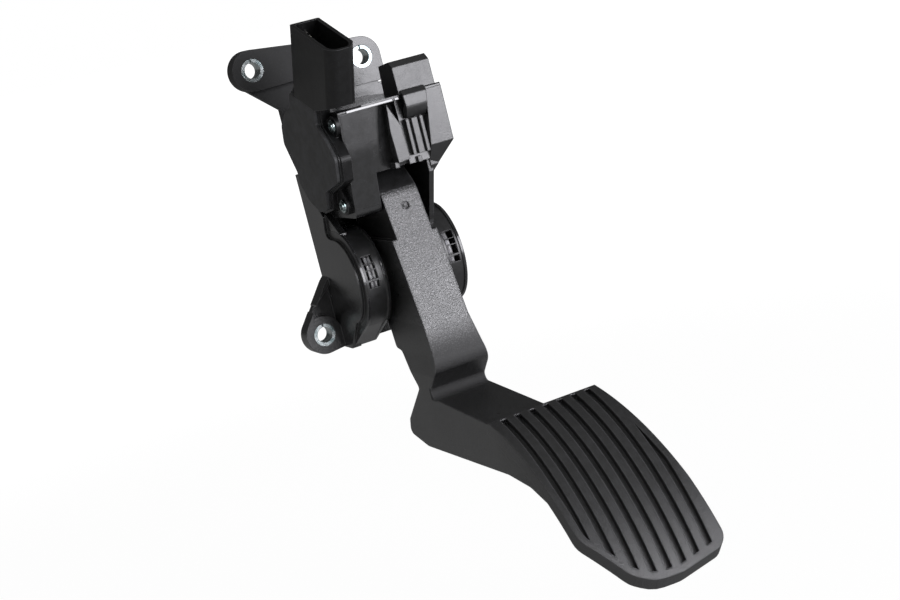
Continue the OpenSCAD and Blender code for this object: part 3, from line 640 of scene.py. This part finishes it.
def wall_row(z):
    front = box_front(z)
    corner = arc(CORNER_START, front, CORNER_RADIUS, math.pi / 2.0, z)
    return flat_part(front, z) + corner + [(CORNER_END, front + SKIN_DEPTH, z)]


rows = []
for step in range(WALL_STEPS + 1):
    rows.append(wall_row(SKIN_BOTTOM + (POCKET_BOTTOM - SKIN_BOTTOM) * step / WALL_STEPS))
print("rows below the pocket:", len(rows))

# %% [markdown]
# Beside the pocket the corner gives way to the roll: a wide arc, and then a straight slope
# back to the claw's side. The higher the row, the further right the roll starts. How far
# the arc turns isn't a round number, because the slope has to end on the pocket's floor.
# A short search finds it: the turn grows by small steps until the slope is deep enough.

# %% Rows beside the pocket
ROLL_RADIUS = 0.005
ROLL_START = -0.0082
ROLL_DRIFT = 0.0042
ROLL_DRIFT_POWER = 1.6
SLOPE_STEP = 0.002
POCKET_STEPS = 14


def slope_depth(turn, wide):
    beyond_roll = wide - ROLL_RADIUS * math.sin(turn)
    return ROLL_RADIUS * (1.0 - math.cos(turn)) + beyond_roll * math.tan(turn)


def pocket_row(z):
    front = box_front(z)
    climb = (z - POCKET_BOTTOM) / (RIDGE_UNDERSIDE - POCKET_BOTTOM)
    start = ROLL_START + ROLL_DRIFT * climb ** ROLL_DRIFT_POWER
    turn = 0.0
    while slope_depth(turn, CLAW_SIDE - start) < POCKET_BACK - front:
        turn += SLOPE_STEP
    roll = arc(start, front, ROLL_RADIUS, turn, z)
    return flat_part(front, z) + roll + [(CLAW_SIDE, POCKET_BACK, z)]


for step in range(POCKET_STEPS + 1):
    rows.append(pocket_row(POCKET_BOTTOM + (RIDGE_UNDERSIDE - POCKET_BOTTOM) * step / POCKET_STEPS))
print("rows:", len(rows), "with", len(rows[0]), "points each")

# %% [markdown]
# Rows of equal length are joined by a loop over their points, and the first and last row
# are closed with one face each. A new piece also has to ride on a body of the pedal and
# carry its finish, so one helper does both.

# %% Join the rows, and add a piece
def skin_faces(count, width):
    faces = []
    for row in range(count - 1):
        for point in range(width):
            a = row * width + point
            b = row * width + (point + 1) % width
            faces.append((a, b, b + width, a + width))
    faces.append(tuple(range(width - 1, -1, -1)))
    faces.append(tuple(range((count - 1) * width, count * width)))
    return faces


def add_piece(name, mesh, material):
    piece = bpy.data.objects.new(name, mesh)
    bpy.context.scene.collection.objects.link(piece)
    mesh.materials.append(material)
    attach(piece, "bracket")


print("faces:", len(skin_faces(len(rows), len(rows[0]))))

# %% [markdown]
# The last row below the pocket and the first one beside it lie at one height and share
# their flat part, so those doubled points are merged first. Then all faces are smooth,
# except across edges that really turn.

# %% Skin of the box's front
SHARP_TURN = 0.5
MERGE_DISTANCE = 0.000001
skin = bpy.data.meshes.new("box_front_skin")
skin.from_pydata([point for row in rows for point in row], [], skin_faces(len(rows), len(rows[0])))
build = bmesh.new()
build.from_mesh(skin)
bmesh.ops.remove_doubles(build, verts=build.verts, dist=MERGE_DISTANCE)
bmesh.ops.recalc_face_normals(build, faces=build.faces)
for face in build.faces:
    face.smooth = True
for line in build.edges:
    if len(line.link_faces) == 2 and line.calc_face_angle(0.0) > SHARP_TURN:
        line.smooth = False
build.to_mesh(skin)
build.free()
add_piece("box_front_skin", skin, bracket_black)
print("box skin:", len(skin.polygons), "faces")

# %% [markdown]
# ## The polished lip
# Along the top of the box's face runs a thin polished lip, the witness of a bright mould
# insert. It is the brightest line on the bracket, so it is a bar of its own, with its
# corners rounded by a real bevel, and a short second bar past the notch.

# %% Polished lip on the ridge
LIP_FRONT = -0.06035
LIP_HEIGHT = 0.07225
LIP_THICK = 0.0007
LIP_HIGH = 0.0013
LIP_LEAN = -0.06
LIP_ROUND = 0.00022
LIP_ROUND_STEPS = 3


def lip_bar(name, start, end):
    shape = bmesh.new()
    bmesh.ops.create_cube(shape, size=1.0)
    bmesh.ops.scale(shape, vec=(end - start, LIP_THICK, LIP_HIGH), verts=shape.verts)
    lean = Matrix.Rotation(LIP_LEAN, 3, "X")
    bmesh.ops.rotate(shape, cent=(0, 0, 0), matrix=lean, verts=shape.verts)
    bmesh.ops.bevel(
        shape, geom=shape.edges[:], offset=LIP_ROUND, segments=LIP_ROUND_STEPS, affect="EDGES",
        profile=0.5,
    )
    middle = ((start + end) / 2.0, LIP_FRONT, LIP_HEIGHT)
    bmesh.ops.translate(shape, vec=middle, verts=shape.verts)
    mesh = bpy.data.meshes.new(name)
    shape.to_mesh(mesh)
    shape.free()
    add_piece(name, mesh, trim_black)
    print(name, round((end - start) * 1000.0, 1), "mm long")


lip_bar("ridge_lip_long", -0.0172, 0.0042)
lip_bar("ridge_lip_short", 0.0049, 0.0072)

# %% [markdown]
# ## Floor
# The studio's pale floor runs out of view. Near the pedal it glows for the camera only in
# part, so the shadow stays there. Further out the glow is whole, and the floor runs into
# the white of the world. It lies a little below the pad, so that the pressed pad stays
# clear of it.

# %% Floor
FLOOR_SIZE = 240.0
FLOOR_GAP = 0.034
FLOOR_CLOUDS = 3.0
PAINT_DARK = grey(0.58)
PAINT_LIGHT = grey(0.62)
NEAR_GLOW = 0.84
FULL_GLOW_FROM = (0.3, 1.3)
GLOW_STRENGTH = 1.13
floor_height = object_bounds()[0][2] - FLOOR_GAP
bpy.ops.mesh.primitive_plane_add(size=FLOOR_SIZE, location=(0.0, 0.0, floor_height))
floor = bpy.context.object
floor.name = "floor"
paint = Finish("floor_white")
colour = paint.mix(paint.noise(FLOOR_CLOUDS), PAINT_DARK, PAINT_LIGHT)
seen_by_camera = paint.node("ShaderNodeLightPath")
reach = paint.node("ShaderNodeVectorMath", {"operation": "LENGTH"}, [paint.place()], output=1)
glowing = NEAR_GLOW + paint.ramp(reach, *FULL_GLOW_FROM) * (1.0 - NEAR_GLOW)
lit = paint.node("ShaderNodeBsdfDiffuse", None, {"Color": colour})
glow = paint.node("ShaderNodeEmission", None, {"Color": grey(1.0), "Strength": GLOW_STRENGTH})
blended = paint.node("ShaderNodeMixShader", None, {0: seen_by_camera * glowing, 1: lit, 2: glow})
paint.node("ShaderNodeOutputMaterial", None, {"Surface": blended})
floor.data.materials.append(paint.owner)
print("floor at z =", round(floor_height, 4))

# %% [markdown]
# ## World
# The world has three jobs. The camera sees plain white, strength 1. Plain surfaces get an
# even dim room. Gloss, metal and clear things mirror a studio: bright towards the front,
# where the softbox stands, weaker straight overhead, and dim everywhere else, which keeps
# black plastic black.

# %% World
ROOM_STRENGTH = 0.32
STUDIO_DIM = 0.06
FRONT_LIGHT = 0.34
OVERHEAD_LIGHT = 0.16
FACING_SOFTBOX = (0.0, 0.9)
ABOVE_SOFTBOX = (0.3, 0.7)
OVERHEAD = (0.72, 0.95)
world = bpy.data.worlds.new("studio")
bpy.context.scene.world = world
sky = NodeTree(world)
heading = sky.node("ShaderNodeTexCoord", output=0)
height = sky.part_of(heading, UP)
front = sky.ramp(sky.part_of(heading, BACK) * -1.0, *FACING_SOFTBOX)
front = front * (1.0 - sky.ramp(height, *ABOVE_SOFTBOX))
level = STUDIO_DIM + front * FRONT_LIGHT + sky.ramp(height, *OVERHEAD) * OVERHEAD_LIGHT


def background(strength):
    return sky.node("ShaderNodeBackground", None, {"Color": grey(1.0), "Strength": strength})


def sky_blend(amount, first, second):
    return sky.node("ShaderNodeMixShader", None, {0: amount, 1: first, 2: second})


def ray(kind):
    return sky.node("ShaderNodeLightPath", output=kind)


white = background(1.0)
studio = sky_blend(level, background(0.0), white)
lighting = sky_blend(ray("Is Glossy Ray") + ray("Is Transmission Ray"), background(ROOM_STRENGTH), studio)
around = sky_blend(ray("Is Camera Ray"), lighting, white)
sky.node("ShaderNodeOutputWorld", None, {"Surface": around})
print("world:", len(world.node_tree.nodes), "nodes")

# %% [markdown]
# ## Softbox
# One large softbox stands in front of the pedal, to its right. Faces that look forward
# mirror it and turn grey; sides and tops mirror the dim room and stay black.

# %% Softbox
SOFTBOX_PLACE = Vector((0.62, -1.53, 0.305))
SOFTBOX_TARGET = Vector((0.0, -0.06, 0.0))
SOFTBOX_WIDTH = 0.93
SOFTBOX_TALL = 0.9
SOFTBOX_WATTS = 14.6
SOFTBOX_TINT = (0.955, 0.95, 1.0)
softbox = bpy.data.lights.new("front_softbox", "AREA")
softbox.shape = "RECTANGLE"
softbox.size = SOFTBOX_WIDTH
softbox.size_y = SOFTBOX_TALL
softbox.energy = SOFTBOX_WATTS
softbox.color = SOFTBOX_TINT
stand = bpy.data.objects.new("front_softbox", softbox)
bpy.context.scene.collection.objects.link(stand)
stand.location = SOFTBOX_PLACE
stand.rotation_euler = (SOFTBOX_TARGET - SOFTBOX_PLACE).to_track_quat("-Z", "Y").to_euler()
print("softbox", round((SOFTBOX_TARGET - SOFTBOX_PLACE).length, 2), "m from the pedal")

# %% [markdown]
# ## Camera
# Place, turn and lens were fitted to the photograph, from the three bushes, the pivot and
# the pad's grooves. Black and white stay as they are written with the Standard view.

# %% Camera
EYE = Vector((-0.2559, -0.7077, 0.1132))
EYE_RIGHT = Vector((0.88192, -0.40626, -0.23911))
EYE_DOWN = Vector((-0.29143, -0.0712, -0.95394))
EYE_FORWARD = Vector((0.37052, 0.91098, -0.18119))
LENS_MM = 67.03
FILM_MM = 36.0
NEAREST = 0.01
camera = bpy.data.cameras.new("camera")
camera.lens = LENS_MM
camera.sensor_width = FILM_MM
camera.clip_start = NEAREST
eye = bpy.data.objects.new("camera", camera)
bpy.context.scene.collection.objects.link(eye)
turn = Matrix((EYE_RIGHT, -EYE_DOWN, -EYE_FORWARD)).transposed().to_4x4()
eye.matrix_world = Matrix.Translation(EYE) @ turn
bpy.context.scene.camera = eye
bpy.context.scene.view_settings.view_transform = "Standard"
print("camera at", tuple(round(v, 3) for v in eye.location))

# %% [markdown]
